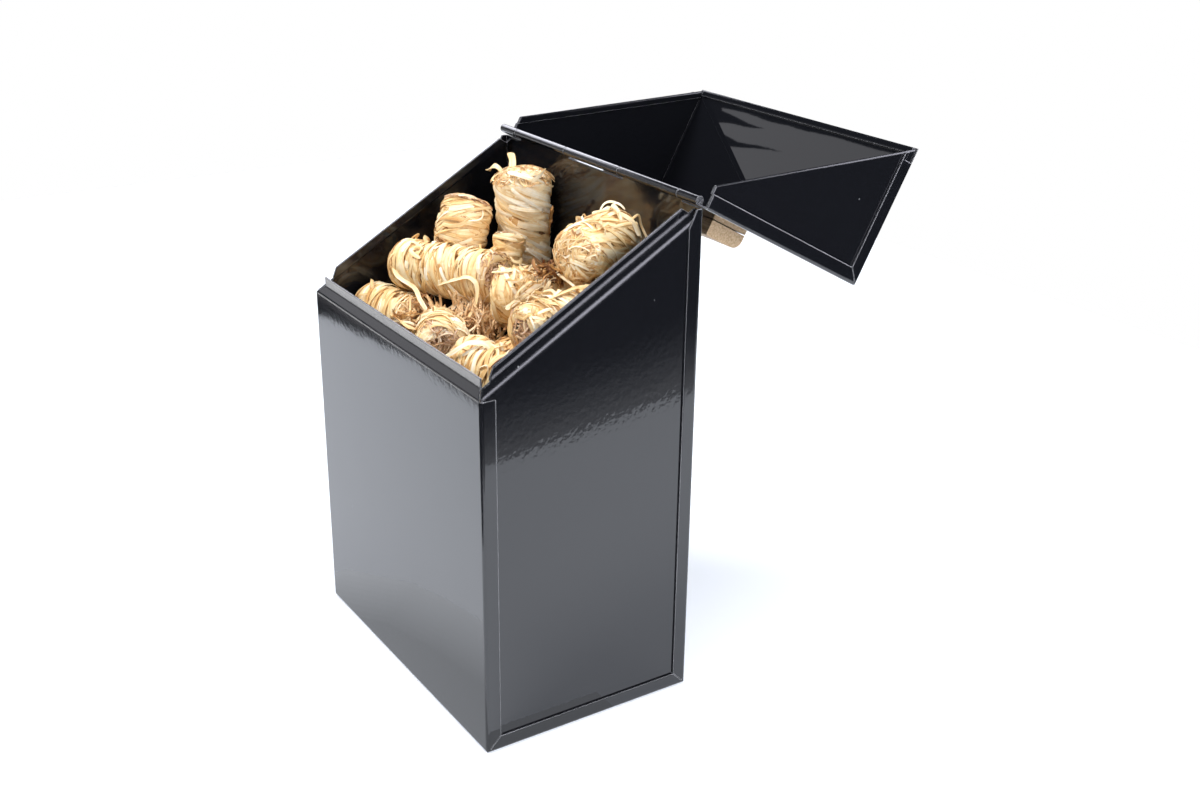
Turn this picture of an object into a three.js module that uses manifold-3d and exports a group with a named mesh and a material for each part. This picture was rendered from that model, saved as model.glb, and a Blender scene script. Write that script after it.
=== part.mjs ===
// A sheet-steel kindling box with a sloping mouth and a hinged wedge lid, standing open and
// filled with wood-wool firelighters. Millimetres, +Z up, the origin at the middle of the base,
// the low front wall facing -Y.
import * as THREE from 'three';
import { mergeVertices } from 'three/addons/utils/BufferGeometryUtils.js';
import Module from 'manifold-3d';

const manifoldLibrary = await Module();
manifoldLibrary.setup();

const radians = THREE.MathUtils.degToRad;

// The closed box
const boxWidth = 200;
const boxDepth = 130;
const frontHeight = 203; // floor to the shoulder bend of the front wall
const rimAngle = radians(30); // slope of the mouth
const backEdgeRise = 3; // back wall above the upper end of the sloping rim

// The sheet
const sheet = 0.8;
const bendRadius = 1.2; // to the middle of the sheet
const lapGap = 0.3; // between sheets that lie on each other
const flangeWidth = 8.5;
const hemWidth = 4;
const hemGap = 0.3;
const mitreSlit = 0.4;
const bendSteps = 4; // facets in a round bend

// The rim that the lid closes over
const frontShoulderInset = 3.7;
const frontShoulderRise = 4.2;
const sideLipInset = 6.3; // outer side of the box to the outer face of the side lip
const lipHeight = 5.3;
const sideLipFrontInset = 8; // front of the box to the foot of the side lip
const sideLipFrontLean = 3.5;
const sideLipBackInset = 4.5;
const sideLipBackLean = 5.5;
const backFlangeChamfer = 4.5; // width and height of the cut at its upper corner
const backFlangeChamferHeight = 9.5;

// The hinge, rolled from the edges of the two wrapped sheets
const barrelRadius = 2.4;
const rollSweep = radians(300);
const rollSteps = 20;
const axisAboveBackEdge = 4.4;
const endKnuckle = 17.5;
const knuckleGap = 0.5;
const notchClearance = 0.6; // to the other sheet, where an edge is cut away for its knuckles
const pinClearance = 0.1;
const pinSides = 20;

// The lid
const mouthRise = 2; // edge of the closed lid above the shoulder bend
const lidSideBackInset = 9;
const stopGap = 0.3; // open lid to the edge of the back wall

// The handle on the lid, and its screws
const handleLength = 113;
const handleWidth = 26;
const handleThickness = 9;
const handleFrontRound = 6; // outer long edge towards the lid's front
const handleBackRound = 1.5; // outer long edge towards the hinge
const handleGap = 0.3;
const screwSpacing = 80;
const screwRadius = 1.75;
const screwReach = 7; // into the handle
const screwHeadRadius = 3.5;
const screwHeadHeight = 1.8;
const screwClearance = 0.3;
const screwSides = 16;

// The firelighters
const firelighterRadius = 15.5;
const slimFirelighterRadius = 10;
const firelighterGap = 0.4;
const strandRelief = 0.9; // depth of the grooves between the twisted strands
const strandCount = 7;
const strandTwist = radians(150); // from one end of a roll to the other
const strandRings = 9;
const lowerLength = 74;
const lowerLayers = 5; // below the rolls that show
const lowerSides = 12;
const lowerTopDepth = 26.7; // front shoulder to the top of the lower layers

// Sizes that follow from these
const halfWidth = boxWidth / 2;
const halfDepth = boxDepth / 2;
const halfSheet = sheet / 2;
const rimSlope = Math.tan(rimAngle);
const rimCosine = Math.cos(rimAngle);
const rimHeightAt = (y) => frontHeight + (y + halfDepth) * rimSlope;
const backEdgeHeight = rimHeightAt(halfDepth) + backEdgeRise;
const axisHeight = backEdgeHeight + axisAboveBackEdge;
const axisDepth = halfDepth - barrelRadius;
const lidTop = axisHeight + barrelRadius;
const rollRadius = barrelRadius - halfSheet;
const pinRadius = (barrelRadius - sheet) * Math.cos(rollSweep / rollSteps / 2) - pinClearance;
const outerBendRadius = bendRadius + halfSheet;
const sidePlane = halfWidth - sheet - lapGap - halfSheet; // middle of the side panels' sheet
const sideShoulderInset = sidePlane - (halfWidth - sideLipInset - halfSheet);
const sideShoulderRise = (frontShoulderRise - frontShoulderInset * rimSlope) * rimCosine;
const mouthHeightAt = (y) => rimHeightAt(y) + mouthRise;
const lidFlangeEnd = halfDepth - lidSideBackInset;
const innerKnuckle = (boxWidth - 2 * endKnuckle) / 3;
const kneeReach = Math.hypot(barrelRadius, axisAboveBackEdge);
const openTilt = Math.acos((barrelRadius + stopGap) / kneeReach) - Math.atan2(barrelRadius, axisAboveBackEdge);
const openAngle = Math.PI + openTilt; // from closed to the open lid's stop
const openSine = Math.sin(openTilt);
const lidNotchReach = (barrelRadius * (1 + openSine) + notchClearance) / Math.cos(openTilt);
const innerHalfWidth = sidePlane - halfSheet;
const innerHalfDepth = halfDepth - sheet;
const lowerPitch = (frontHeight - lowerTopDepth - sheet) / lowerLayers;
const lowerRadius = (lowerPitch - firelighterGap) / 2;
const beyond = 5; // how far a cutter reaches past what it cuts

// Steel, wood and wood wool
const enamel = { color: 0x101114, roughness: 0.12, metalness: 0.0 };
const brightSteel = { color: 0x8c8e92, roughness: 0.3, metalness: 1.0 };
const beech = { color: 0xc8ad8e, roughness: 0.7, metalness: 0.0 };
const woodWool = { color: 0xdcb679, roughness: 0.85, metalness: 0.0 };

/** A closed geometry as a solid that can be joined and cut. */
function toSolid(geometry) {
  const bare = geometry.clone();
  bare.deleteAttribute('normal');
  bare.deleteAttribute('uv');
  const merged = mergeVertices(bare, 1e-4);
  return new manifoldLibrary.Manifold(new manifoldLibrary.Mesh({
    numProp: 3,
    vertProperties: new Float32Array(merged.attributes.position.array),
    triVerts: new Uint32Array(merged.index.array),
  }));
}

function toGeometry(solid) {
  const { vertProperties, triVerts } = solid.getMesh();
  const geometry = new THREE.BufferGeometry();
  geometry.setAttribute('position', new THREE.BufferAttribute(new Float32Array(vertProperties), 3));
  geometry.setIndex(new THREE.BufferAttribute(new Uint32Array(triVerts), 1));
  geometry.computeVertexNormals();
  return geometry;
}

/** The same piece for the other side of the box. */
function mirrored(geometry) {
  const copy = geometry.clone();
  const { position } = copy.attributes;
  for (let i = 0; i < position.count; i += 1) position.setX(i, -position.getX(i));
  const corners = Array.from(copy.index.array);
  for (let i = 0; i < corners.length; i += 3) [corners[i], corners[i + 1]] = [corners[i + 1], corners[i]];
  copy.setIndex(corners);
  copy.computeVertexNormals();
  return copy;
}

/** A shape given by its corners. */
function outline(corners) {
  return new THREE.Shape(corners.map(([a, b]) => new THREE.Vector2(a, b)));
}

function extruded(shape, depth) {
  return new THREE.ExtrudeGeometry(shape, { depth, bevelEnabled: false, curveSegments: 6 });
}

/** Extrudes a shape drawn in Y and Z from one X to another. */
function acrossWidth(shape, fromX, toX) {
  const axes = new THREE.Matrix4().makeBasis(
    new THREE.Vector3(0, 1, 0),
    new THREE.Vector3(0, 0, 1),
    new THREE.Vector3(1, 0, 0),
  );
  return toSolid(extruded(shape, toX - fromX).applyMatrix4(axes).translate(fromX, 0, 0));
}

/** Extrudes a shape drawn in X and Y from one height to another. */
function upward(shape, fromZ, toZ) {
  return toSolid(extruded(shape, toZ - fromZ).translate(0, 0, fromZ));
}

/** Extrudes a shape drawn in X and Z from one Y to another. */
function alongDepth(shape, fromY, toY) {
  return toSolid(extruded(shape, toY - fromY).rotateX(Math.PI / 2).translate(0, toY, 0));
}

/** Extrudes a section of a side panel, drawn in X and square to the rim, along the sloping rim. */
function alongRim(shape) {
  const rimRun = new THREE.Vector3(0, -rimCosine, -Math.sin(rimAngle));
  const squareToRim = new THREE.Vector3(0, -Math.sin(rimAngle), rimCosine);
  const axes = new THREE.Matrix4().makeBasis(new THREE.Vector3(1, 0, 0), squareToRim, rimRun);
  const endY = halfDepth + beyond;
  const reach = (boxDepth + 2 * beyond) * rimCosine + rimHeightAt(endY) * Math.sin(rimAngle);
  axes.setPosition(0, endY, rimHeightAt(endY));
  return toSolid(extruded(shape, reach).applyMatrix4(axes));
}

function block(fromX, toX, fromY, toY, fromZ, toZ) {
  const geometry = new THREE.BoxGeometry(toX - fromX, toY - fromY, toZ - fromZ);
  return toSolid(geometry.translate((fromX + toX) / 2, (fromY + toY) / 2, (fromZ + toZ) / 2));
}

/**
 * The middle line of a folded sheet: straight runs between corners, each [a, b, radius], with
 * round bends. Every point carries the direction to the left of the line.
 */
function foldedLine(corners) {
  const points = corners.map(([a, b]) => new THREE.Vector2(a, b));
  const line = [];
  const add = (point, heading) => line.push({
    point,
    left: new THREE.Vector2(-Math.sin(heading), Math.cos(heading)),
  });
  const headingFrom = (i) => points[i + 1].clone().sub(points[i]).angle();
  add(points[0], headingFrom(0));
  for (let i = 1; i < points.length - 1; i += 1) {
    const heading = headingFrom(i - 1);
    const turn = Math.atan2(Math.sin(headingFrom(i) - heading), Math.cos(headingFrom(i) - heading));
    const radius = corners[i][2];
    const run = new THREE.Vector2(Math.cos(heading), Math.sin(heading));
    const toCentre = new THREE.Vector2(-run.y, run.x).multiplyScalar(Math.sign(turn) * radius);
    const start = points[i].clone().addScaledVector(run, -radius * Math.tan(Math.abs(turn) / 2));
    const centre = start.clone().add(toCentre);
    for (let step = 0; step <= bendSteps; step += 1) {
      const angle = (turn * step) / bendSteps;
      add(start.clone().rotateAround(centre, angle), heading + angle);
    }
  }
  add(points[points.length - 1], headingFrom(points.length - 2));
  return line;
}

/** Goes on from a folded line's end into a roll about the hinge axis, for a knuckle. */
function rolled(line, startAngle, sweep) {
  const centre = new THREE.Vector2(axisDepth, axisHeight);
  const turning = Math.sign(sweep);
  for (let step = 1; step <= rollSteps; step += 1) {
    const angle = startAngle + (sweep * step) / rollSteps;
    const outward = new THREE.Vector2(Math.cos(angle), Math.sin(angle));
    line.push({
      point: centre.clone().addScaledVector(outward, rollRadius),
      left: outward.multiplyScalar(-turning),
    });
  }
  return line;
}

/** The closed section of a sheet whose middle follows a line. */
function sheetSection(line) {
  const leftSide = line.map(({ point, left }) => point.clone().addScaledVector(left, halfSheet));
  const rightSide = line.map(({ point, left }) => point.clone().addScaledVector(left, -halfSheet));
  return new THREE.Shape([...rightSide, ...leftSide.reverse()]);
}

/** What is cut off a square edge to round it, drawn with the edge at the origin. */
function edgeWaste(signA, signB) {
  const r = outerBendRadius;
  const over = 0.5;
  const corners = [[over, over], [-r, over], [-r, 0]];
  for (let step = 1; step <= bendSteps; step += 1) {
    const angle = Math.PI / 2 - (Math.PI / 2) * (step / bendSteps);
    corners.push([-r + r * Math.cos(angle), -r + r * Math.sin(angle)]);
  }
  corners.push([over, -r]);
  const turned = corners.map(([a, b]) => [a * signA, b * signB]);
  return signA * signB > 0 ? turned : turned.reverse();
}

/** Rounds the bend between an end wall and its side flanges, on both sides. */
function roundUprights(solid, wallY, fromZ, toZ) {
  return [-1, 1].reduce((rest, side) => {
    const corners = edgeWaste(side, Math.sign(wallY));
    const waste = outline(corners.map(([a, b]) => [side * halfWidth + a, wallY + b]));
    return rest.subtract(upward(waste, fromZ, toZ));
  }, solid);
}

/** Rounds the bend between the floor or the lid's top and its side flanges, on both sides. */
function roundLevelEdges(solid, edgeZ, signZ, fromY, toY) {
  return [-1, 1].reduce((rest, side) => {
    const corners = edgeWaste(side, signZ);
    const waste = outline(corners.map(([a, b]) => [side * halfWidth + a, edgeZ + b]));
    return rest.subtract(alongDepth(waste, fromY, toY));
  }, solid);
}

/** The slit where two flanges meet at a corner of the wrapped sheet. */
function mitreCut(cornerY, cornerZ, signY, signZ) {
  const length = (flangeWidth + beyond) * Math.SQRT2;
  const start = 2 * outerBendRadius;
  const slit = new THREE.BoxGeometry(boxWidth + 2 * beyond, length, mitreSlit);
  slit.translate(0, start + length / 2, 0);
  slit.rotateX(Math.atan2(signZ, signY));
  return toSolid(slit.translate(0, cornerY, cornerZ));
}

/** Where the knuckles lie along the hinge: the lid has the two ends and the middle. */
function knuckles(owner) {
  const lengths = [endKnuckle, innerKnuckle, innerKnuckle, innerKnuckle, endKnuckle];
  let edge = -halfWidth;
  return lengths.map((length, i) => {
    const span = { from: edge, to: edge + length, owner: i % 2 === 0 ? 'lid' : 'box' };
    edge += length;
    return span;
  }).filter((span) => span.owner === owner);
}

/** Cuts a sheet's edge away where the other sheet has its knuckles. */
function notched(solid, otherOwner, fromY, fromZ) {
  return knuckles(otherOwner).reduce((rest, { from, to }) => {
    const left = from <= -halfWidth ? from - beyond : from - knuckleGap / 2;
    const right = to >= halfWidth ? to + beyond : to + knuckleGap / 2;
    return rest.subtract(block(left, right, fromY, halfDepth + beyond, fromZ, lidTop + beyond));
  }, solid);
}

/** The front, floor and back of the box from one sheet, with side flanges and hinge knuckles. */
function boxWrap() {
  const frontY = -halfDepth + halfSheet;
  const backY = halfDepth - halfSheet;
  const lipY = frontY + frontShoulderInset;
  const lipFoot = frontHeight + frontShoulderRise;
  const line = foldedLine([
    [lipY, lipFoot + lipHeight],
    [lipY, lipFoot, bendRadius],
    [frontY, frontHeight, bendRadius],
    [frontY, halfSheet, bendRadius],
    [backY, halfSheet, bendRadius],
    [backY, axisHeight],
  ]);
  const flangeEdge = halfSheet; // the flanges start inside the bends that carry them
  const flangeTop = frontHeight - halfSheet;
  const flange = outline([
    [-halfDepth + flangeEdge, flangeEdge],
    [halfDepth - flangeEdge, flangeEdge],
    [halfDepth - flangeEdge, backEdgeHeight],
    [halfDepth - flangeWidth + backFlangeChamfer, backEdgeHeight],
    [halfDepth - flangeWidth, backEdgeHeight - backFlangeChamferHeight],
    [halfDepth - flangeWidth, flangeWidth],
    [-halfDepth + flangeWidth, flangeWidth],
    [-halfDepth + flangeWidth, flangeTop],
    [-halfDepth + flangeEdge, flangeTop],
  ]);
  let solid = acrossWidth(sheetSection(rolled(line, 0, rollSweep)), flangeEdge - halfWidth, halfWidth - flangeEdge);
  solid = solid.add(acrossWidth(flange, halfWidth - sheet, halfWidth));
  solid = solid.add(acrossWidth(flange, -halfWidth, sheet - halfWidth));
  solid = notched(solid, 'lid', axisDepth - barrelRadius - notchClearance, backEdgeHeight);
  solid = roundUprights(solid, -halfDepth, -beyond, frontHeight + beyond);
  solid = roundUprights(solid, halfDepth, -beyond, backEdgeHeight + beyond);
  solid = roundLevelEdges(solid, 0, -1, -halfDepth - beyond, halfDepth + beyond);
  solid = solid.subtract(mitreCut(-halfDepth, 0, 1, 1));
  solid = solid.subtract(mitreCut(halfDepth, 0, -1, 1));
  [-1, 1].forEach((side) => {
    const cut = rimMitre(side, -lapGap, halfWidth + beyond);
    solid = solid.subtract(upward(cut, flangeTop, lidTop));
  });
  return toGeometry(solid);
}

/**
 * Plan of the rim's corner, cut along the mitre between the front and side shoulders. The edge
 * is moved outward by a shift, and the plan reaches to an outer or an inner end.
 */
function rimMitre(side, shift, endX) {
  const outerX = sidePlane + halfSheet;
  const lipX = halfWidth - sideLipInset;
  const lipY = -halfDepth + frontShoulderInset;
  const leadX = outerX + (outerX - lipX) / frontShoulderInset; // 1 mm in front of the wall
  const corners = [
    [endX, -halfDepth - 1],
    [leadX + shift, -halfDepth - 1],
    [lipX + shift, lipY],
    [lipX + shift, lipY + beyond],
    [endX, lipY + beyond],
  ];
  return outline(corners.map(([x, y]) => [side * x, y]));
}

/** A side wall of the box: flat inside the flanges, with a sloping shoulder and lip. */
function boxSide() {
  const lipX = sidePlane - sideShoulderInset;
  const section = sheetSection(foldedLine([
    [sidePlane, -2 * frontHeight - boxDepth],
    [sidePlane, 0, bendRadius],
    [lipX, sideShoulderRise, bendRadius],
    [lipX, sideShoulderRise + lipHeight],
  ]));
  const inner = halfDepth - sheet - lapGap;
  const footAbove = (y) => rimHeightAt(y) + (sideShoulderRise + halfSheet) / rimCosine;
  const tipAbove = (y) => rimHeightAt(y) + (sideShoulderRise + lipHeight) / rimCosine + 1;
  const frontFoot = -halfDepth + sideLipFrontInset;
  const backFoot = halfDepth - sideLipBackInset;
  const frontTip = frontFoot + sideLipFrontLean;
  const backTip = backFoot - sideLipBackLean;
  const face = outline([
    [-inner, sheet + lapGap],
    [inner, sheet + lapGap],
    [inner, footAbove(inner)],
    [backFoot, footAbove(backFoot)],
    [backTip, tipAbove(backTip)],
    [frontTip, tipAbove(frontTip)],
    [frontFoot, footAbove(frontFoot)],
    [-inner, footAbove(-inner)],
  ]);
  const mitre = rimMitre(1, lapGap, halfWidth - sideLipInset - beyond);
  return toGeometry(alongRim(section)
    .intersect(acrossWidth(face, 0, halfWidth))
    .subtract(upward(mitre, frontHeight - beyond, lidTop)));
}

/** The top and front of the lid from one sheet, drawn closed, with flanges, hem and knuckles. */
function lidWrap() {
  const frontY = -halfDepth + halfSheet;
  const mouthFront = mouthHeightAt(-halfDepth);
  const hemY = frontY + sheet + hemGap;
  const hemRadius = (sheet + hemGap) / 2;
  const topZ = lidTop - halfSheet;
  const line = foldedLine([
    [hemY, mouthFront + hemWidth],
    [hemY, mouthFront + halfSheet, hemRadius],
    [frontY, mouthFront + halfSheet, hemRadius],
    [frontY, topZ, bendRadius],
    [axisDepth, topZ],
  ]);
  const flangeEdge = halfSheet;
  const flangeFoot = (y) => mouthHeightAt(y) + halfSheet;
  const flange = outline([
    [-halfDepth + flangeEdge, flangeFoot(-halfDepth)],
    [-halfDepth + flangeWidth, flangeFoot(-halfDepth + flangeWidth)],
    [-halfDepth + flangeWidth, lidTop - flangeWidth],
    [lidFlangeEnd, lidTop - flangeWidth],
    [lidFlangeEnd, lidTop - flangeEdge],
    [-halfDepth + flangeEdge, lidTop - flangeEdge],
  ]);
  let solid = acrossWidth(
    sheetSection(rolled(line, Math.PI / 2, -rollSweep)),
    flangeEdge - halfWidth,
    halfWidth - flangeEdge,
  );
  [-1, 1].forEach((side) => {
    const edge = side * (halfWidth - sheet);
    solid = solid.add(acrossWidth(flange, Math.min(edge, side * halfWidth), Math.max(edge, side * halfWidth)));
    const hemEnd = sidePlane - sheet - hemGap - halfSheet - lapGap;
    const [left, right] = side > 0 ? [hemEnd, halfWidth + beyond] : [-halfWidth - beyond, -hemEnd];
    const hemZ = mouthFront + hemWidth + beyond;
    solid = solid.subtract(block(left, right, frontY + halfSheet + lapGap / 2, hemY + beyond, frontHeight, hemZ));
    const screwHole = new THREE.CylinderGeometry(
      screwRadius + screwClearance,
      screwRadius + screwClearance,
      2 * beyond,
      screwSides,
    );
    screwHole.rotateX(Math.PI / 2).translate((side * screwSpacing) / 2, 0, lidTop);
    solid = solid.subtract(toSolid(screwHole));
  });
  solid = notched(solid, 'box', axisDepth - lidNotchReach, axisHeight - barrelRadius - 1);
  solid = roundUprights(solid, -halfDepth, frontHeight - beyond, lidTop + beyond);
  solid = roundLevelEdges(solid, lidTop, 1, -halfDepth - beyond, lidFlangeEnd);
  solid = solid.subtract(mitreCut(-halfDepth, lidTop, 1, -1));
  return toGeometry(solid);
}

/** A side wall of the lid, drawn closed, with its mouth edge hemmed inward. */
function lidSide() {
  const hemX = sidePlane - sheet - hemGap;
  const hemRadius = (sheet + hemGap) / 2;
  const foldAt = mouthRise * rimCosine + halfSheet;
  const section = sheetSection(foldedLine([
    [hemX, foldAt - halfSheet + hemWidth],
    [hemX, foldAt, hemRadius],
    [sidePlane, foldAt, hemRadius],
    [sidePlane, lidTop],
  ]));
  const frontEdge = -halfDepth + sheet + lapGap;
  const face = outline([
    [frontEdge, frontHeight - beyond],
    [lidFlangeEnd, frontHeight - beyond],
    [lidFlangeEnd, lidTop - sheet - lapGap],
    [frontEdge, lidTop - sheet - lapGap],
  ]);
  return toGeometry(alongRim(section).intersect(acrossWidth(face, 0, halfWidth)));
}

function hingePin() {
  const pin = new THREE.CylinderGeometry(pinRadius, pinRadius, boxWidth - 1, pinSides);
  return pin.rotateZ(Math.PI / 2).translate(0, axisDepth, axisHeight);
}

/** The bar handle, its front outer edge well rounded, with a blind hole for each screw. */
function handleBar() {
  const foot = lidTop + handleGap;
  const top = foot + handleThickness;
  const half = handleWidth / 2;
  const section = new THREE.Shape();
  section.moveTo(-half, foot);
  section.lineTo(half, foot);
  section.absarc(half - handleBackRound, top - handleBackRound, handleBackRound, 0, Math.PI / 2);
  section.absarc(-half + handleFrontRound, top - handleFrontRound, handleFrontRound, Math.PI / 2, Math.PI);
  const bar = [-1, 1].reduce((rest, side) => {
    const radius = screwRadius + pinClearance;
    const depth = screwReach + screwClearance;
    const hole = new THREE.CylinderGeometry(radius, radius, depth + beyond, screwSides);
    hole.rotateX(Math.PI / 2).translate((side * screwSpacing) / 2, 0, foot + (depth - beyond) / 2);
    return rest.subtract(toSolid(hole));
  }, acrossWidth(section, -handleLength / 2, handleLength / 2));
  return toGeometry(bar);
}

/** A pan-head screw that goes up through the lid's top into the handle. */
function handleScrew(side) {
  const headTop = lidTop - sheet - lapGap / 2;
  const tip = lidTop + handleGap + screwReach;
  const profile = [
    [0, headTop - screwHeadHeight],
    [screwHeadRadius * 0.7, headTop - screwHeadHeight],
    [screwHeadRadius, headTop - screwHeadHeight * 0.6],
    [screwHeadRadius, headTop],
    [screwRadius, headTop],
    [screwRadius, tip - 2 * screwRadius],
    [0, tip],
  ];
  const screw = new THREE.LatheGeometry(profile.map(([r, z]) => new THREE.Vector2(r, z)), screwSides);
  return screw.rotateX(Math.PI / 2).translate((side * screwSpacing) / 2, 0, 0);
}

/** A roll of wood wool: twisted strands with rounded ends, lying along X. */
function twistedRoll(length, girth = firelighterRadius) {
  const endRound = girth * 0.35;
  const stations = [[-length / 2, girth - endRound]];
  for (let ring = 0; ring <= strandRings; ring += 1) {
    const run = length - 1.2 * endRound;
    stations.push([-run / 2 + (run * ring) / strandRings, girth]);
  }
  stations.push([length / 2, girth - endRound]);
  const sides = strandCount * 2;
  const positions = [];
  stations.forEach(([x, radius]) => {
    for (let side = 0; side < sides; side += 1) {
      const angle = strandTwist * (x / length) + (Math.PI * 2 * side) / sides;
      const ridge = radius - (side % 2 === 0 ? 0 : strandRelief);
      positions.push(x, ridge * Math.cos(angle), ridge * Math.sin(angle));
    }
  });
  const startCentre = stations.length * sides;
  const endCentre = startCentre + 1;
  positions.push(-length / 2, 0, 0, length / 2, 0, 0);
  const corners = [];
  for (let side = 0; side < sides; side += 1) {
    const next = (side + 1) % sides;
    for (let ring = 0; ring < stations.length - 1; ring += 1) {
      const near = ring * sides;
      const far = near + sides;
      corners.push(near + side, near + next, far + side, near + next, far + next, far + side);
    }
    const last = (stations.length - 1) * sides;
    corners.push(startCentre, next, side, endCentre, last + side, last + next);
  }
  const geometry = new THREE.BufferGeometry();
  geometry.setAttribute('position', new THREE.Float32BufferAttribute(positions, 3));
  geometry.setIndex(corners);
  geometry.computeVertexNormals();
  return geometry;
}

/** A roll below the ones that show, lying along X. */
function plainRoll() {
  return new THREE.CylinderGeometry(lowerRadius, lowerRadius, lowerLength, lowerSides).rotateZ(Math.PI / 2);
}

/** Where a roll first meets the pile on its way down, and a gap above that. */
function restingHeight(roll, pile) {
  const overlaps = (height) => {
    roll.position.z = height;
    roll.updateMatrix();
    return toSolid(roll.geometry.clone().applyMatrix4(roll.matrix)).intersect(pile).volume() > 0;
  };
  const coarse = 3;
  const fine = 0.02;
  let clear = lidTop + 2 * firelighterRadius;
  while (!overlaps(clear - coarse)) clear -= coarse;
  let blocked = clear - coarse;
  while (clear - blocked > fine) {
    const middle = (clear + blocked) / 2;
    if (overlaps(middle)) blocked = middle;
    else clear = middle;
  }
  return clear + firelighterGap;
}

const group = new THREE.Group();

function addPiece(parent, name, geometry, finish) {
  const mesh = new THREE.Mesh(geometry, new THREE.MeshStandardMaterial(finish));
  mesh.name = name;
  parent.add(mesh);
  return mesh;
}

const rightSide = boxSide();
addPiece(group, 'box_wrap', boxWrap(), enamel);
addPiece(group, 'box_side_right', rightSide, enamel);
addPiece(group, 'box_side_left', mirrored(rightSide), enamel);
addPiece(group, 'hinge_pin', hingePin(), brightSteel);

// The lower firelighters lie in crosswise layers from the floor up.
let pile = block(-halfWidth, halfWidth, -halfDepth, halfDepth, 0, sheet);
let rollCount = 0;
for (let layer = 0; layer < lowerLayers; layer += 1) {
  const fromFrontToBack = layer % 2 === 0;
  const places = fromFrontToBack
    ? [-0.75, -0.25, 0.25, 0.75].map((share) => [share * innerHalfWidth, 0])
    : [-0.5, 0.5].flatMap((share) => [-0.5, 0.5].map((side) => [side * innerHalfWidth, share * innerHalfDepth]));
  places.forEach(([x, y]) => {
    rollCount += 1;
    const roll = addPiece(group, `lower_firelighter_${rollCount}`, plainRoll(), woodWool);
    roll.rotation.z = fromFrontToBack ? Math.PI / 2 : 0;
    roll.position.set(x, y, sheet + firelighterGap + lowerRadius + layer * lowerPitch);
    roll.updateMatrix();
    pile = pile.add(toSolid(roll.geometry.clone().applyMatrix4(roll.matrix)));
  });
}

// The ones above are laid on the pile in this order, each placed by its middle's distance from
// two walls, its heading from +X, its rise towards the headed end and its length.
const fromLeft = (distance) => distance - innerHalfWidth;
const fromRight = (distance) => innerHalfWidth - distance;
const fromFront = (distance) => distance - innerHalfDepth;
const fromBack = (distance) => innerHalfDepth - distance;
const laidRolls = [
  { x: fromLeft(28.6), y: fromFront(34.2), heading: 11, rise: 0, length: 46 },
  { x: fromLeft(94.1), y: fromFront(31.2), heading: -24, rise: 14, length: 58 },
  { x: fromLeft(41.6), y: fromBack(26.8), heading: 0, rise: 0, length: 66 },
  { x: fromRight(68.1), y: fromBack(33.7), heading: 0, rise: 0, length: 70 },
  { x: fromRight(38.1), y: fromFront(54.2), heading: 4, rise: 0, length: 62 },
  { x: fromRight(32.1), y: fromFront(24.7), heading: 8, rise: 0, length: 46 },
  { x: fromLeft(56.1), y: fromFront(57.6), heading: 18, rise: 4, length: 76 },
  { x: fromRight(69.1), y: fromBack(51.2), heading: 48, rise: 0, length: 54 },
  { x: fromLeft(51.1), y: fromBack(18.7), heading: 175, rise: 87, length: 66 },
  { x: fromLeft(40.1), y: fromBack(52.7), heading: 15, rise: 8, length: 22 },
  { x: fromLeft(71.1), y: fromBack(41.2), heading: 20, rise: 4, length: 20, girth: slimFirelighterRadius },
  { x: fromRight(24.1), y: fromBack(61.5), heading: 95, rise: 3, length: 62 },
  { x: fromRight(44.1), y: fromBack(33.2), heading: 112, rise: 4, length: 52 },
];
laidRolls.forEach(({ x, y, heading, rise, length, girth }, i) => {
  const roll = addPiece(group, `firelighter_${i + 1}`, twistedRoll(length, girth), woodWool);
  roll.rotation.set(0, -radians(rise), radians(heading), 'ZYX');
  roll.position.set(x, y, 0);
  roll.position.z = restingHeight(roll, pile);
  roll.updateMatrix();
  pile = pile.add(toSolid(roll.geometry.clone().applyMatrix4(roll.matrix)));
});

// The lid is drawn closed and turned back about the hinge axis.
const lid = new THREE.Group();
const lidPieces = new THREE.Group();
lid.position.set(0, axisDepth, axisHeight);
lid.rotation.x = -openAngle;
lidPieces.position.set(0, -axisDepth, -axisHeight);
lid.add(lidPieces);
group.add(lid);

const rightLidSide = lidSide();
addPiece(lidPieces, 'lid_wrap', lidWrap(), enamel);
addPiece(lidPieces, 'lid_side_right', rightLidSide, enamel);
addPiece(lidPieces, 'lid_side_left', mirrored(rightLidSide), enamel);
addPiece(lidPieces, 'handle_bar', handleBar(), beech);
addPiece(lidPieces, 'handle_screw_right', handleScrew(1), brightSteel);
addPiece(lidPieces, 'handle_screw_left', handleScrew(-1), brightSteel);

export default group;
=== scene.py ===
import math
import random

import bpy
import numpy as np
from mathutils import Matrix, Vector


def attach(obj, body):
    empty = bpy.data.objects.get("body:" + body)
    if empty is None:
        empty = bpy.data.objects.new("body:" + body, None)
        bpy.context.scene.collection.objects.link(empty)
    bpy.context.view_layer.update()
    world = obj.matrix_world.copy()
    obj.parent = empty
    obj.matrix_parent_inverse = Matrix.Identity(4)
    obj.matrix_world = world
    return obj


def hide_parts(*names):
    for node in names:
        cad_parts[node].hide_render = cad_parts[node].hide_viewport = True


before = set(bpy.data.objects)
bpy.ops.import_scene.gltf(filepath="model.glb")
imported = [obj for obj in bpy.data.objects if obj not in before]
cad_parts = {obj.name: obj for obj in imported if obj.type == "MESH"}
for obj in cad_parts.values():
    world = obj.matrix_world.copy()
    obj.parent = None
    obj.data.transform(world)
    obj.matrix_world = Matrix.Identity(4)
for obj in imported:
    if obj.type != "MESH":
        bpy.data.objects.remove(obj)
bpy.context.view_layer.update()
mm = 0.001
# where each kind of piece starts its random numbers
seeds = {"shownRoll": 40, "lowerRoll": 100, "looseStrand": 200, "tangle": 300}
print("frame loaded")


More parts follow.
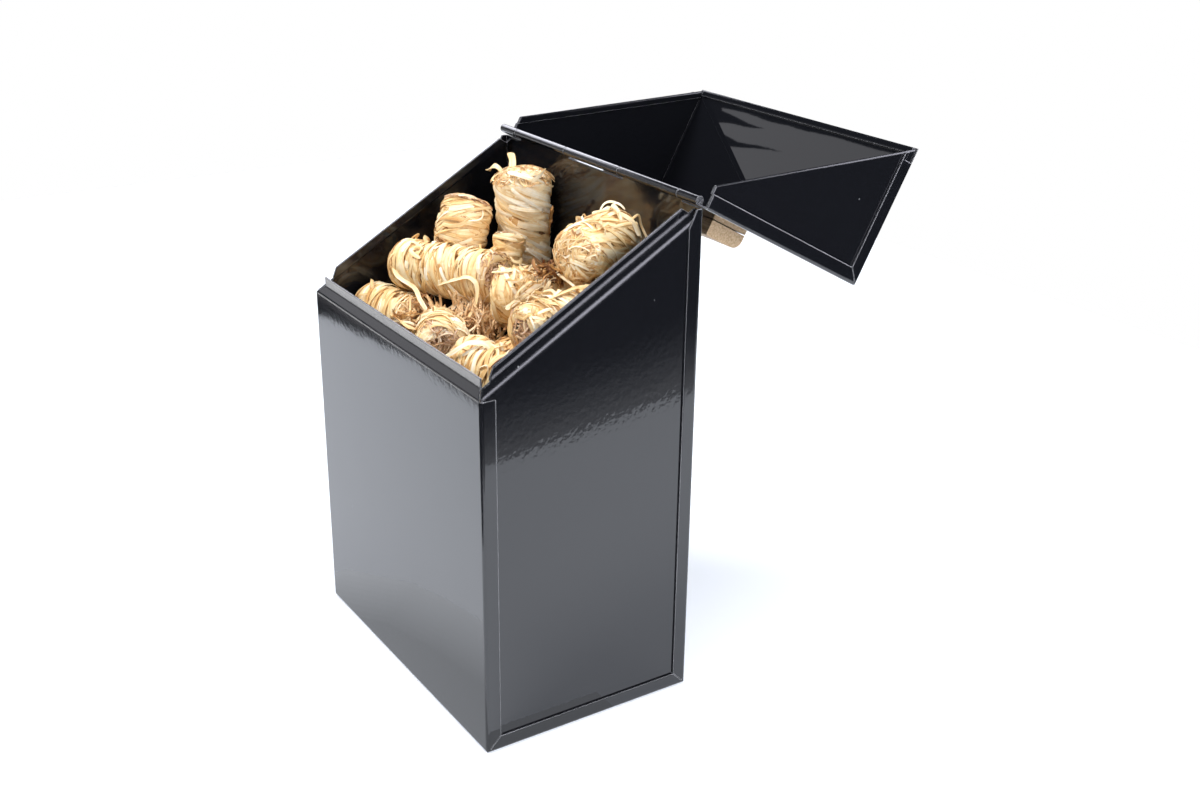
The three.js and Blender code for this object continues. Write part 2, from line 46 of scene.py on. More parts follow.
def linearColour(hexColour):
    # an sRGB hex value as the linear colour that the nodes want
    channels = [int(hexColour[i : i + 2], 16) / 255 for i in (1, 3, 5)]
    linear = [c / 12.92 if c <= 0.04045 else ((c + 0.055) / 1.055) ** 2.4 for c in channels]
    return (*linear, 1.0)


def newMaterial(name):
    material = bpy.data.materials.new(name)
    material.use_nodes = True
    material.node_tree.nodes.clear()
    return material, material.node_tree


def addNode(tree, kind, settings=None, inputs=None):
    # inputs are values, or (node, output name) pairs to link from
    node = tree.nodes.new(kind)
    for name, value in (settings or {}).items():
        setattr(node, name, value)
    for name, value in (inputs or {}).items():
        if isinstance(value, tuple) and isinstance(value[0], bpy.types.Node):
            tree.links.new(value[0].outputs[value[1]], node.inputs[name])
        else:
            node.inputs[name].default_value = value
    return node


def setRamp(node, stops):
    ramp = node.color_ramp
    while len(ramp.elements) < len(stops):
        ramp.elements.new(0.5)
    for element, (position, hexColour) in zip(ramp.elements, stops):
        element.position = position
        element.color = linearColour(hexColour)


# Vitreous black enamel, sprayed and fired on folded sheet: a deep gloss with a faint orange peel,
# a few dust nibs, a pale painted highlight along each cut edge, and less gloss inside the box,
# where wood dust lies on it
enamelLook = {
    "colour": "#121317",
    "nibColour": "#6d6f72",
    "edgeHighlightColour": "#c4c4ca",
    "ior": 1.6,
    "roughness": 0.06,
    "dustyRoughness": 0.11,
    "orangePeel": 3.2 * mm,
    "orangePeelDepth": 0.014 * mm,
    "panelWave": 40.0 * mm,
    "panelWaveDepth": 0.07 * mm,
    "edgeHighlightReach": 0.42 * mm,  # how far the painted highlight reaches from a cut edge
    "edgeTurn": (0.975, 0.88),  # cosines of the turn at which the painted highlight starts and is full
    "edgeHighlightCover": 0.9,
    "bendFlow": 1.0 * mm,  # how far the coat rounds off a bend
    "bevelSamples": 6,
    "nibSpacing": 34.0 * mm,
    "nibEdge": (0.012, 0.02),  # as a share of the spacing
    "insideX": 98.4 * mm,  # half sizes of the dusty inside
    "insideY": 64.5 * mm,
}


def makeBlackEnamel(name, changes):
    look = {**enamelLook, **changes}
    material, tree = newMaterial(name)
    place = addNode(tree, "ShaderNodeTexCoord")
    peel = addNode(
        tree,
        "ShaderNodeTexNoise",
        inputs={"Vector": (place, "Object"), "Scale": 1 / look["orangePeel"], "Detail": 1.0},
    )
    wave = addNode(
        tree,
        "ShaderNodeTexNoise",
        inputs={"Vector": (place, "Object"), "Scale": 1 / look["panelWave"], "Detail": 1.0},
    )
    fine = {"samples": look["bevelSamples"]}
    edge = addNode(tree, "ShaderNodeBevel", fine, {"Radius": look["edgeHighlightReach"]})
    bend = addNode(tree, "ShaderNodeBevel", fine, {"Radius": look["bendFlow"]})
    peelBump = addNode(
        tree,
        "ShaderNodeBump",
        inputs={
            "Height": (peel, "Fac"),
            "Distance": look["orangePeelDepth"],
            "Strength": 1.0,
            "Normal": (bend, "Normal"),
        },
    )
    waveBump = addNode(
        tree,
        "ShaderNodeBump",
        inputs={
            "Height": (wave, "Fac"),
            "Distance": look["panelWaveDepth"],
            "Strength": 1.0,
            "Normal": (peelBump, "Normal"),
        },
    )
    nibs = addNode(
        tree,
        "ShaderNodeTexVoronoi",
        {"feature": "F1"},
        {"Vector": (place, "Object"), "Scale": 1 / look["nibSpacing"]},
    )
    nibSpots = addNode(
        tree,
        "ShaderNodeMapRange",
        inputs={
            "Value": (nibs, "Distance"),
            "From Min": look["nibEdge"][0],
            "From Max": look["nibEdge"][1],
            "To Min": 1.0,
            "To Max": 0.0,
        },
    )
    colour = addNode(
        tree,
        "ShaderNodeMix",
        {"data_type": "RGBA"},
        {
            "Factor": (nibSpots, "Result"),
            6: linearColour(look["colour"]),
            7: linearColour(look["nibColour"]),
        },
    )
    flat = addNode(tree, "ShaderNodeNewGeometry")
    # painted highlight: pale grey along each cut edge, where the bevelled normal turns from the flat
    # one
    turned = addNode(
        tree,
        "ShaderNodeVectorMath",
        {"operation": "DOT_PRODUCT"},
        {0: (edge, "Normal"), 1: (flat, "Normal")},
    )
    paintedEdgeHighlight = addNode(
        tree,
        "ShaderNodeMapRange",
        inputs={
            "Value": (turned, "Value"),
            "From Min": look["edgeTurn"][0],
            "From Max": look["edgeTurn"][1],
            "To Min": 0.0,
            "To Max": look["edgeHighlightCover"],
        },
    )
    withEdgeHighlights = addNode(
        tree,
        "ShaderNodeMix",
        {"data_type": "RGBA"},
        {"Factor": (paintedEdgeHighlight, "Result"), 6: (colour, 2), 7: linearColour(look["edgeHighlightColour"])},
    )
    axes = addNode(tree, "ShaderNodeSeparateXYZ", inputs={"Vector": (place, "Object")})
    sideways = addNode(tree, "ShaderNodeMath", {"operation": "ABSOLUTE"}, {0: (axes, "X")})
    lengthways = addNode(tree, "ShaderNodeMath", {"operation": "ABSOLUTE"}, {0: (axes, "Y")})
    insideX = addNode(
        tree, "ShaderNodeMath", {"operation": "LESS_THAN"}, {0: (sideways, 0), 1: look["insideX"]}
    )
    insideY = addNode(
        tree, "ShaderNodeMath", {"operation": "LESS_THAN"}, {0: (lengthways, 0), 1: look["insideY"]}
    )
    dusty = addNode(
        tree, "ShaderNodeMath", {"operation": "MULTIPLY"}, {0: (insideX, 0), 1: (insideY, 0)}
    )
    rough = addNode(
        tree,
        "ShaderNodeMapRange",
        inputs={
            "Value": (dusty, 0),
            "To Min": look["roughness"],
            "To Max": look["dustyRoughness"],
        },
    )
    shader = addNode(
        tree,
        "ShaderNodeBsdfPrincipled",
        inputs={
            "Base Color": (withEdgeHighlights, 2),
            "Roughness": (rough, "Result"),
            "IOR": look["ior"],
            "Normal": (waveBump, "Normal"),
        },
    )
    addNode(tree, "ShaderNodeOutputMaterial", inputs={"Surface": (shader, "BSDF")})
    return material


# Drawn steel wire and screw stock, bright and lightly scratched along its length
def makeDrawnSteel():
    look = {
        "colour": "#b9bbbe",
        "roughness": (0.18, 0.34),
        "scratch": 0.4 * mm,
        "scratchDepth": 0.01 * mm,
        "scratchRun": 10,  # how many times longer than wide the scratches are
    }
    material, tree = newMaterial("drawnSteel")
    place = addNode(tree, "ShaderNodeTexCoord")
    stretch = addNode(
        tree,
        "ShaderNodeMapping",
        inputs={"Vector": (place, "Object"), "Scale": (1 / look["scratchRun"], 1.0, 1.0)},
    )
    scratches = addNode(
        tree,
        "ShaderNodeTexNoise",
        inputs={"Vector": (stretch, "Vector"), "Scale": 1 / look["scratch"], "Detail": 3.0},
    )
    rough = addNode(
        tree,
        "ShaderNodeMapRange",
        inputs={
            "Value": (scratches, "Fac"),
            "To Min": look["roughness"][0],
            "To Max": look["roughness"][1],
        },
    )
    bump = addNode(
        tree,
        "ShaderNodeBump",
        inputs={"Height": (scratches, "Fac"), "Distance": look["scratchDepth"]},
    )
    shader = addNode(
        tree,
        "ShaderNodeBsdfPrincipled",
        inputs={
            "Base Color": linearColour(look["colour"]),
            "Metallic": 1.0,
            "Roughness": (rough, "Result"),
            "Normal": (bump, "Normal"),
        },
    )
    addNode(tree, "ShaderNodeOutputMaterial", inputs={"Surface": (shader, "BSDF")})
    return material


# Sanded bare beech: short dark flecks along the grain, pale pinkish tan, and an open, speckled
# end grain on the sawn ends
def makeBareBeech():
    look = {
        "grainColours": [(0.3, "#b8946c"), (0.5, "#d8b993"), (0.7, "#e8cfae")],
        "fleckColour": "#8a6747",
        "roughness": 0.62,
        "ior": 1.45,
        "grain": 1.1 * mm,
        "grainDepth": 0.06 * mm,
        "grainRun": 0.06,  # width over length of the grain's figure
        "fleck": 0.8 * mm,
        "fleckRun": 0.25,  # width over length of a fleck
        "fleckEdge": (0.12, 0.3),  # as a share of the fleck
        "fleckCover": 0.55,
    }
    material, tree = newMaterial("bareBeech")
    place = addNode(tree, "ShaderNodeTexCoord")
    along = addNode(
        tree,
        "ShaderNodeMapping",
        inputs={"Vector": (place, "Object"), "Scale": (look["grainRun"], 1.0, 1.0)},
    )
    grain = addNode(
        tree,
        "ShaderNodeTexNoise",
        inputs={
            "Vector": (along, "Vector"),
            "Scale": 1 / look["grain"],
            "Detail": 4.0,
            "Distortion": 0.4,
        },
    )
    grainColour = addNode(tree, "ShaderNodeValToRGB", inputs={"Fac": (grain, "Fac")})
    setRamp(grainColour, look["grainColours"])
    fleckPlace = addNode(
        tree,
        "ShaderNodeMapping",
        inputs={"Vector": (place, "Object"), "Scale": (look["fleckRun"], 1.0, 1.0)},
    )
    flecks = addNode(
        tree,
        "ShaderNodeTexVoronoi",
        inputs={"Vector": (fleckPlace, "Vector"), "Scale": 1 / look["fleck"]},
    )
    fleckMask = addNode(
        tree,
        "ShaderNodeMapRange",
        inputs={
            "Value": (flecks, "Distance"),
            "From Min": look["fleckEdge"][0],
            "From Max": look["fleckEdge"][1],
            "To Min": look["fleckCover"],
            "To Max": 0.0,
        },
    )
    withFlecks = addNode(
        tree,
        "ShaderNodeMix",
        {"data_type": "RGBA"},
        {
            "Factor": (fleckMask, "Result"),
            6: (grainColour, "Color"),
            7: linearColour(look["fleckColour"]),
        },
    )
    bump = addNode(
        tree,
        "ShaderNodeBump",
        inputs={"Height": (grain, "Fac"), "Distance": look["grainDepth"], "Strength": 0.6},
    )
    shader = addNode(
        tree,
        "ShaderNodeBsdfPrincipled",
        inputs={
            "Base Color": (withFlecks, 2),
            "Roughness": look["roughness"],
            "IOR": look["ior"],
            "Normal": (bump, "Normal"),
        },
    )
    addNode(tree, "ShaderNodeOutputMaterial", inputs={"Surface": (shader, "BSDF")})
    return material


# Shaved spruce strands, dipped in wax: straw yellow with a silky grain along each strand, each
# strand its own tone. The tone is a value stored on the mesh, the grain runs along the UV map.
def makeWoodWool():
    look = {
        "strawColours": [
            (0.0, "#4a2c17"),
            (0.2, "#93623a"),
            (0.42, "#d3a062"),
            (0.62, "#eecb90"),
            (0.82, "#f8e2b8"),
            (1.0, "#fef6e4"),
        ],
        "cutColours": [(0.0, "#553627"), (0.35, "#a97b60"), (0.6, "#d9b192"), (1.0, "#f6e2cf")],
        "roughness": 0.5,
        "ior": 1.46,
        "grain": 1.0 * mm,  # about three times as coarse as the fibres are, or it wouldn't show
        "grainDepth": 0.12 * mm,
        "grainRun": 0.05,  # width over length of the grain's figure
        "grainTone": 0.75,
        "stain": 7.0 * mm,
        "stainTone": 0.3,
        "rimShadeTone": -0.13,
        "rimWidth": (0.6, 1.0),
    }
    material, tree = newMaterial("waxedSpruceWool")
    uv = addNode(tree, "ShaderNodeUVMap", {"uv_map": "strandMap"})
    tone = addNode(tree, "ShaderNodeAttribute", {"attribute_name": "strandTone"})
    place = addNode(tree, "ShaderNodeTexCoord")
    stretch = addNode(
        tree,
        "ShaderNodeMapping",
        inputs={"Vector": (uv, "UV"), "Scale": (look["grainRun"], 1.0, 1.0)},
    )
    grain = addNode(
        tree,
        "ShaderNodeTexNoise",
        inputs={"Vector": (stretch, "Vector"), "Scale": 1 / look["grain"], "Detail": 3.0},
    )
    stain = addNode(
        tree,
        "ShaderNodeTexNoise",
        inputs={"Vector": (place, "Object"), "Scale": 1 / look["stain"], "Detail": 2.0},
    )
    grainShift = addNode(
        tree,
        "ShaderNodeMath",
        {"operation": "MULTIPLY_ADD"},
        {0: (grain, "Fac"), 1: look["grainTone"], 2: -look["grainTone"] / 2},
    )
    stainShift = addNode(
        tree,
        "ShaderNodeMath",
        {"operation": "MULTIPLY_ADD"},
        {0: (stain, "Fac"), 1: look["stainTone"], 2: -look["stainTone"] / 2},
    )
    withGrain = addNode(
        tree, "ShaderNodeMath", {"operation": "ADD"}, {0: (tone, "Fac"), 1: (grainShift, 0)}
    )
    withStain = addNode(
        tree, "ShaderNodeMath", {"operation": "ADD"}, {0: (withGrain, 0), 1: (stainShift, 0)}
    )
    # painted shade: each strand is darker along both its edges
    rim = addNode(tree, "ShaderNodeAttribute", {"attribute_name": "strandRim"})
    rimShade = addNode(
        tree,
        "ShaderNodeMapRange",
        inputs={
            "Value": (rim, "Fac"),
            "From Min": look["rimWidth"][0],
            "From Max": look["rimWidth"][1],
            "To Min": 0.0,
            "To Max": look["rimShadeTone"],
        },
    )
    shaded = addNode(
        tree, "ShaderNodeMath", {"operation": "ADD"}, {0: (withStain, 0), 1: (rimShade, "Result")}
    )
    straw = addNode(tree, "ShaderNodeValToRGB", inputs={"Fac": (shaded, 0)})
    setRamp(straw, look["strawColours"])
    cut = addNode(tree, "ShaderNodeValToRGB", inputs={"Fac": (shaded, 0)})
    setRamp(cut, look["cutColours"])
    soak = addNode(tree, "ShaderNodeAttribute", {"attribute_name": "waxSoak"})
    colour = addNode(
        tree,
        "ShaderNodeMix",
        {"data_type": "RGBA"},
        {"Factor": (soak, "Fac"), 6: (straw, "Color"), 7: (cut, "Color")},
    )
    bump = addNode(
        tree,
        "ShaderNodeBump",
        inputs={"Height": (grain, "Fac"), "Distance": look["grainDepth"], "Strength": 0.7},
    )
    shader = addNode(
        tree,
        "ShaderNodeBsdfPrincipled",
        inputs={
            "Base Color": (colour, 2),
            "Roughness": look["roughness"],
            "IOR": look["ior"],
            "Normal": (bump, "Normal"),
        },
    )
    addNode(tree, "ShaderNodeOutputMaterial", inputs={"Surface": (shader, "BSDF")})
    return material


# the right panel's coat has more orange peel and rounds its bends more, the lid's lies flatter
peeledLook = {"orangePeelDepth": 0.032 * mm, "bendFlow": 2.0 * mm}
smoothLook = {"orangePeelDepth": 0.001 * mm, "panelWaveDepth": 0.05 * mm, "roughness": 0.02}
enamel = makeBlackEnamel("blackVitreousEnamel", {})
rightEnamel = makeBlackEnamel("peeledVitreousEnamel", peeledLook)
lidEnamel = makeBlackEnamel("smoothVitreousEnamel", smoothLook)
steel = makeDrawnSteel()
beech = makeBareBeech()
woodWool = makeWoodWool()
finishes = {
    "box_wrap": enamel,
    "box_side_right": rightEnamel,
    "box_side_left": enamel,
    "lid_wrap": lidEnamel,
    "lid_side_right": lidEnamel,
    "lid_side_left": lidEnamel,
    "hinge_pin": steel,
    "handle_screw_right": steel,
    "handle_screw_left": steel,
    "handle_bar": beech,
}
for nodeName, finish in finishes.items():
    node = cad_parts[nodeName]
    node.data.materials.clear()
    node.data.materials.append(finish)
print("enamel, steel and beech finished")


class StrandMesh:
    # gathers strands: points, faces, a tone, a soak and a nearness to the strand's edge for each
    # point, and a place along the strand
    def __init__(self):
        self.points = []
        self.faces = []
        self.tones = []
        self.soaks = []
        self.rims = []
        self.places = []
        self.count = 0

    def keep(self, points, places, tone, soak, rims):
        self.points.append(points)
        self.places.append(places)
        self.tones.append(np.full(len(points), tone))
        self.soaks.append(np.full(len(points), soak))
        self.rims.append(rims)
        self.count += len(points)

    def addRibbon(self, path, outward, width, thickness, tone, soak=0.0):
        # a thin crowned strip along a path, its flat side facing outward, narrower at both tips
        # and on its underside
        steps = len(path)
        run = np.gradient(path, axis=0)
        run /= np.linalg.norm(run, axis=1, keepdims=True) + 1e-12
        across = np.cross(outward, run)
        across /= np.linalg.norm(across, axis=1, keepdims=True) + 1e-12
        up = np.cross(run, across)
        ends = np.minimum(np.arange(steps), np.arange(steps)[::-1])
        tip, crownShare, underside = 0.4, 0.045, 0.96
        half = (width / 2 * np.minimum(1.0, ends / 2.0 + tip))[:, None]
        crown = width * crownShare
        rows = [
            path - across * half,
            path + up * crown,
            path + across * half,
            path + across * half * underside - up * thickness,
            path + up * (crown - thickness),
            path - across * half * underside - up * thickness,
        ]
        sides = len(rows)
        points = np.stack(rows, axis=1).reshape(-1, 3)
        start = self.count
        for i in range(steps - 1):
            for k in range(sides):
                a = start + i * sides + k
                b = start + i * sides + (k + 1) % sides
                self.faces.append((a, b, b + sides, a + sides))
        self.faces.append(tuple(start + k for k in range(sides))[::-1])
        self.faces.append(tuple(start + (steps - 1) * sides + k for k in range(sides)))
        length = np.concatenate([[0], np.cumsum(np.linalg.norm(np.diff(path, axis=0), axis=1))])
        sideways = np.array([0, 0.5, 1, 1, 0.5, 0]) * width
        shift = tone * 0.7  # so that no two strands show the same stretch of grain
        places = np.stack(
            [np.repeat(length, sides) + shift, np.tile(sideways, steps) + shift], axis=1
        )
        self.keep(points, places, tone, soak, np.tile([1.0, 0.0, 1.0, 1.0, 0.0, 1.0], steps))

    def addCore(self, grid, tone, soak=0.5):
        # a closed body of rings, each ring a row of points, shut by a point at each end
        rings, sides, _ = grid.shape
        start = self.count
        middles = [grid[0].mean(0)[None], grid[-1].mean(0)[None]]
        points = np.concatenate([grid.reshape(-1, 3), *middles])
        for i in range(rings - 1):
            for k in range(sides):
                a = start + i * sides + k
                b = start + i * sides + (k + 1) % sides
                self.faces.append((a, b, b + sides, a + sides))
        first, last = start + rings * sides, start + rings * sides + 1
        for k in range(sides):
            a, b = start + k, start + (k + 1) % sides
            self.faces.append((first, b, a))
            self.faces.append((last, a + (rings - 1) * sides, b + (rings - 1) * sides))
        self.keep(points, points[:, :2], tone, soak, np.zeros(len(points)))

    def build(self, name, matrix):
        mesh = bpy.data.meshes.new(name)
        mesh.from_pydata(np.concatenate(self.points).tolist(), [], self.faces)
        stored = {"strandTone": self.tones, "waxSoak": self.soaks, "strandRim": self.rims}
        for attribute, values in stored.items():
            layer = mesh.attributes.new(attribute, "FLOAT", "POINT")
            layer.data.foreach_set("value", np.concatenate(values).astype(np.float32))
        places = np.concatenate(self.places)
        corners = np.zeros(len(mesh.loops), np.int32)
        mesh.loops.foreach_get("vertex_index", corners)
        uv = mesh.uv_layers.new(name="strandMap")
        uv.data.foreach_set("uv", places[corners].astype(np.float32).ravel())
        mesh.transform(matrix)
        mesh.materials.append(woodWool)
        obj = bpy.data.objects.new(name, mesh)
        bpy.context.scene.collection.objects.link(obj)
        return obj


def between(rng, low, high):
    return low + (high - low) * rng.random()


# What the rolls share, and how each of the shown ones differs. Shares of the radius or the length
# are said so, angles are in radians, and tones run from 0, dark, to 1, pale.
rollLook = {
    "radius": 15.4 * mm,
    "corner": 5.0 * mm,  # rounding where the side turns into an end
    "dish": 0.06,  # how steeply the ends sink towards their middles
    "coreDepth": 2.8 * mm,
    "coreInset": 4.5 * mm,
    "coreOver": 0.75,  # how far the core's rows run over each end, as a share of the radius
    "coreLumps": 0.3 * mm,
    "coreShadeTone": 0.3,
    "strands": 400,
    "strandWidth": (1.6 * mm, 4.8 * mm),
    "thickness": 0.28 * mm,
    "slant": 0.22,  # the strands' angle off a plain hoop
    "spread": 0.2,  # how much that angle varies
    "sweep": (1.0, 3.4),  # how far round the roll a strand goes
    "pointsPerRadian": 7,
    "strandOver": 0.9,  # how far past both ends together strands start, as a share of the radius
    "layers": 1.5 * mm,  # from the first strand wound to the last one
    "jitter": 0.3 * mm,
    "tuck": 3.0 * mm,
    "wander": 0.4 * mm,
    "waves": (4, 9),
    "lean": 0.13,
    "leanWaves": (3, 8),
    "flare": 0.0,  # opens the end that is turned to the front
    "flareFrom": -0.15,  # where it starts, as a share of the length
    "flareCurve": 1.5,
    "looseFrom": 0.88,  # the share of the strands after which they may stand off the roll
    "loft": 0.9 * mm,
    "narrowFrom": 0.9,
    "narrow": 0.6,
    "tone": 0.54,
    "toneRise": 0.22,  # from the first strand wound to the last one, so the inner strands are darker: painted shade under the outer ones
    "toneSpread": 0.12,
    "toneRange": (0.34, 0.97),
    "toneShift": 0.0,
    "endCover": 1.0 * mm,  # how far the wound strands reach over the front end, less a ragged edge
    "endRagged": 2.5 * mm,
    "backCover": 4.0 * mm,  # how much further they reach over the back end
    "endFibres": 210,
    "endSoak": (0.3, 0.95),
    "endDome": 2.2 * mm,
    "curls": 8,
}
shownRolls = {
    "firelighter_1": {"slant": 0.3, "curls": 4, "toneShift": -0.03},
    "firelighter_2": {"slant": -0.2, "curls": 3, "endCover": 4 * mm, "toneShift": 0.04},
    "firelighter_3": {"strands": 170, "endFibres": 60, "curls": 2},
    "firelighter_4": {"strands": 170, "endFibres": 60, "curls": 2},
    "firelighter_5": {"strands": 170, "endFibres": 60, "curls": 4},
    "firelighter_6": {
        "slant": 0.35,
        "spread": 0.35,
        "curls": 10,
        "endCover": 4 * mm,
        "toneShift": -0.1,
    },
    "firelighter_7": {
        "slant": 0.16,
        "spread": 0.26,
        "curls": 14,
        "endFibres": 260,
        "flare": 0.12,
    },
    "firelighter_8": {"slant": 0.3, "spread": 0.45, "curls": 34},
    "firelighter_9": {
        "slant": -0.4,
        "spread": 0.14,
        "curls": 2,
        "flare": 0.36,
        "corner": 12 * mm,
        "endCover": 4 * mm,
        "endSoak": (0.0, 0.25),
        "endDome": 7 * mm,
        "toneShift": 0.13,
    },
    "firelighter_10": {
        "slant": 0.3,
        "spread": 0.25,
        "curls": 2,
        "corner": 9 * mm,
        "toneShift": -0.08,
    },
    "firelighter_11": {"radius": 9.9 * mm, "corner": 3.5 * mm, "strands": 130, "curls": 2},
    "firelighter_12": {"slant": 0.4, "spread": 0.45, "curls": 30},
    "firelighter_13": {
        "slant": 1.1,
        "spread": 0.3,
        "curls": 18,
        "corner": 12 * mm,
        "endCover": 4 * mm,
        "endSoak": (0.0, 0.1),
        "endDome": 6 * mm,
    },
}
lowerLook = {"radius": 17.2 * mm, "strands": 44, "endFibres": 16, "curls": 0}


def rollProfile(along, roll, radius):
    # the roll's outline by distance along it, past the ends on to the end faces: place on the
    # axis, radius, and the direction that faces outward
    corner = roll["corner"]
    flat = roll["length"] / 2 - corner
    side = np.sign(along)
    past = np.abs(along) - flat
    angle = np.clip(past / corner, 0, math.pi / 2)
    onEnd = np.maximum(past - corner * math.pi / 2, 0)
    x = np.where(past < 0, along, side * (flat + corner * np.sin(angle) - onEnd * roll["dish"]))
    r = radius - corner * (1 - np.cos(angle)) - onEnd
    return x, np.maximum(r, 0.3 * mm), side * np.sin(angle), np.cos(angle)


def windStrand(mesh, roll, rng, place, depth, width, tone, loft):
    # one strand wound on the roll, tucked in at both its ends and lifted by loft at its middle
    start, turn, advance, sweep = place
    steps = max(8, int(abs(sweep) * roll["pointsPerRadian"]))
    s = np.linspace(0, 1, steps)
    cover = roll["length"] / 2 - roll["corner"] + roll["corner"] * math.pi / 2 + roll["endCover"]
    frontEdge = cover - between(rng, 0, roll["endRagged"])
    along = np.clip(start + advance * s, -cover - roll["backCover"], frontEdge)
    x, r, facingX, facingR = rollProfile(along, roll, roll["radius"])
    opened = np.clip(along / roll["length"] - roll["flareFrom"], 0, 1) ** roll["flareCurve"]
    flare = 1 + roll["flare"] * opened
    wave = np.sin(s * between(rng, *roll["waves"]) + between(rng, 0, 6))
    sink = depth + roll["tuck"] * np.abs(2 * s - 1) ** 5 - loft * np.sin(math.pi * s)
    r = np.maximum(r * flare - sink * facingR, 0.2 * mm)
    x = x - sink * facingX + roll["wander"] * wave
    theta = turn + sweep * s
    path = np.stack([x, r * np.cos(theta), r * np.sin(theta)], axis=1)
    outward = np.stack([facingX, facingR * np.cos(theta), facingR * np.sin(theta)], axis=1)
    run = np.gradient(path, axis=0)
    run /= np.linalg.norm(run, axis=1, keepdims=True)
    lean = rng.gauss(0, roll["lean"])
    lean = lean + roll["lean"] * np.sin(s * between(rng, *roll["leanWaves"]))
    outward = outward + lean[:, None] * np.cross(run, outward)
    mesh.addRibbon(path, outward, width, roll["thickness"], tone)


# The cut, curly fibres that close the ends of a roll
fibreLook = {
    "inset": 1.2 * mm,
    "bow": (2.5 * mm, 9 * mm),
    "sweep": (0.8, 2.6),
    "lift": (-1.4 * mm, 0.2 * mm),
    "arch": 0.9 * mm,
    "lean": 0.5,
    "points": 9,
    "tone": 0.62,
    "toneSpread": 0.14,
    "toneRange": (0.25, 0.95),
    "width": (0.4 * mm, 1.2 * mm),
    "thickness": 0.2 * mm,
}


def addEndFibres(mesh, roll, rng, side, count):
    # side is 1 for the end that is turned to the front, which the flare opens, and -1 for the other
    look = fibreLook
    opened = roll["flare"] * 0.8 if side > 0 else 0
    reach = roll["radius"] * (1 + opened) - look["inset"]
    s = np.linspace(0, 1, look["points"])
    for _ in range(count):
        bow = between(rng, *look["bow"])
        middle = reach * math.sqrt(rng.random()) * 0.95
        heading = between(rng, 0, 2 * math.pi)
        sweep = between(rng, *look["sweep"])
        spin = between(rng, 0, 2 * math.pi) + sweep * s
        y = middle * math.cos(heading) + bow * (np.cos(spin) - np.cos(spin.mean()))
        z = middle * math.sin(heading) + bow * (np.sin(spin) - np.sin(spin.mean()))
        away = np.hypot(y, z)
        hold = np.minimum(1.0, reach / np.maximum(away, 1e-6))
        y, z, away = y * hold, z * hold, away * hold
        dome = roll["endDome"] * (away / reach) ** 3
        lift = between(rng, *look["lift"]) + look["arch"] * rng.random() * np.sin(math.pi * s)
        x = side * (roll["length"] / 2 - dome + lift)
        path = np.stack([x, y, z], axis=1)
        outward = np.stack([0 * s + side, y / roll["radius"], z / roll["radius"]], axis=1)
        lean = rng.gauss(0, look["lean"])
        run = np.gradient(path, axis=0)
        run /= np.linalg.norm(run, axis=1, keepdims=True)
        outward = outward + lean * np.cross(run, outward)
        tone = float(np.clip(rng.gauss(look["tone"], look["toneSpread"]), *look["toneRange"]))
        width = between(rng, *look["width"])
        soak = between(rng, *roll["endSoak"])
        mesh.addRibbon(path, outward, width, look["thickness"], tone, soak)


# The loose strands that spring from a roll's upper side and come back to it
curlLook = {
    "foot": 0.45,  # how far from the middle they may start, as a share of the length
    "turn": 0.6,
    "run": 7 * mm,
    "drift": 0.35,
    "rise": (1.0 * mm, 3.6 * mm),
    "stray": 3 * mm,
    "strayTurn": 0.12,
    "sink": 0.6 * mm,
    "points": 16,
    "tone": (0.6, 0.95),
    "width": (0.9 * mm, 2.8 * mm),
    "thickness": 0.3 * mm,
}


def addCurl(mesh, roll, rng, upTurn):
    look = curlLook
    base = between(rng, -look["foot"], look["foot"]) * roll["length"]
    turn = upTurn + rng.gauss(0, look["turn"])
    run, drift = rng.gauss(0, look["run"]), rng.gauss(0, look["drift"])
    rise = between(rng, *look["rise"])
    s = np.linspace(0, 1, look["points"])
    bend = np.sin(math.pi * s)
    x = base + run * (s - 0.5) + rng.gauss(0, look["stray"]) * bend
    x = np.clip(x, -roll["length"] / 2, roll["length"] / 2)
    theta = turn + drift * (s - 0.5) * 2 + rng.gauss(0, look["strayTurn"]) * bend
    r = roll["radius"] - look["sink"] + rise * bend
    path = np.stack([x, r * np.cos(theta), r * np.sin(theta)], axis=1)
    tip = between(rng, 0, 6)
    outward = np.stack([np.sin(tip + 2 * s), np.cos(theta), np.sin(theta)], axis=1)
    width, tone = between(rng, *look["width"]), between(rng, *look["tone"])
    mesh.addRibbon(path, outward, width, look["thickness"], tone)


def measureRoll(cadNode):
    # middle, direction and length of a CAD roll, from its own points. The direction points out of
    # the end that is nearer the open front right of the box.
    towardFront = np.array([0.72, -0.47, 0.5])
    points = np.array([v.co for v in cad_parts[cadNode].data.vertices], float)
    points = np.unique(np.round(points, 7), axis=0)
    centre = points.mean(0)
    _, _, axes = np.linalg.svd(points - centre, full_matrices=False)
    axis = axes[0] * (1 if axes[0] @ towardFront > 0 else -1)
    along = (points - centre) @ axis
    middle = centre + axis * (along.max() + along.min()) / 2
    return Vector(middle), Vector(axis), float(along.max() - along.min())


def addRollCore(mesh, roll, rng):
    # the lumpy body under the strands, darker than they are: painted shade in the gaps between them
    rings, sides = 22, 26
    edge = roll["length"] / 2 + roll["radius"] * roll["coreOver"]
    along = np.linspace(-edge, edge, rings)
    x, r, _, _ = rollProfile(along, roll, roll["radius"] - roll["coreDepth"])
    x = x * (roll["length"] - roll["coreInset"]) / roll["length"]
    theta = np.linspace(0, 2 * math.pi, sides, endpoint=False)
    lumps = np.array([[rng.gauss(0, roll["coreLumps"]) for _ in theta] for _ in along])
    radii = np.maximum(r[:, None] + lumps, 0.3 * mm)
    rows = [np.repeat(x[:, None], sides, 1), radii * np.cos(theta), radii * np.sin(theta)]
    mesh.addCore(np.stack(rows, axis=2), roll["coreShadeTone"])


